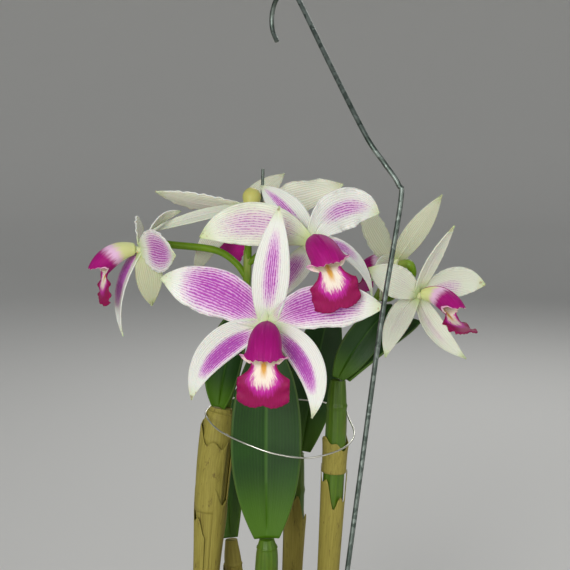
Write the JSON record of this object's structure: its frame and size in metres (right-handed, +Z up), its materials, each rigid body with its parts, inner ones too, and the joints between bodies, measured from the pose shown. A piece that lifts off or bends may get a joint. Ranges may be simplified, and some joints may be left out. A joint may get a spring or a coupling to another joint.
{
  "type": "potted cattleya orchid",
  "caption": "Flowering cattleya orchid with ruffled magenta lips and veined petals, growing from canes in a clay pot of bark with a wire hanger.",
  "frame": {"origin": "middle of the pot's foot, on the surface that it stands on", "axes": "+Z up, -Y towards the front of the plant, +X to the right as seen from the front"},
  "size_m": [0.2015, 0.1696, 0.4356],
  "materials": {
    "petal": "satin petal with magenta-purple blush and veins",
    "lip": "velvety magenta lip with a yellow and white throat",
    "stem": "smooth green stem",
    "leaf": "leathery green leaf",
    "cane_brown": "dry yellow-brown sheath",
    "cane_green": "smooth green cane",
    "bark": "coarse fir bark",
    "terracotta": "matt fired clay",
    "wire": "dull galvanised wire"
  },
  "bodies": {
    "root": {"bloom_a_tepals": "petal", "bloom_a_lip": "lip", "bloom_b_tepals": "petal", "bloom_b_lip": "lip", "bloom_c_tepals": "petal", "bloom_c_lip": "lip", "bloom_d_tepals": "petal", "bloom_d_lip": "lip", "bloom_e_tepals": "petal", "bloom_e_lip": "lip", "bloom_f_tepals": "petal", "bloom_f_lip": "lip", "leaf_left": "leaf", "leaf_middle": "leaf", "leaf_right": "leaf", "leaf_right_arm": "leaf", "leaf_back": "leaf", "leaf_back_left": "leaf", "leaf_old": "leaf", "cane_left": "cane_brown", "cane_old": "cane_brown", "cane_middle": "cane_green", "cane_right": "cane_green", "cane_back": "cane_green", "shoot_new": "cane_green", "stem_left": "stem", "stem_right": "stem", "bark": "bark", "pot": "terracotta", "hanger_wire": "wire", "stake": "wire", "tie_wire": "wire"}
  },
  "joints": []
}
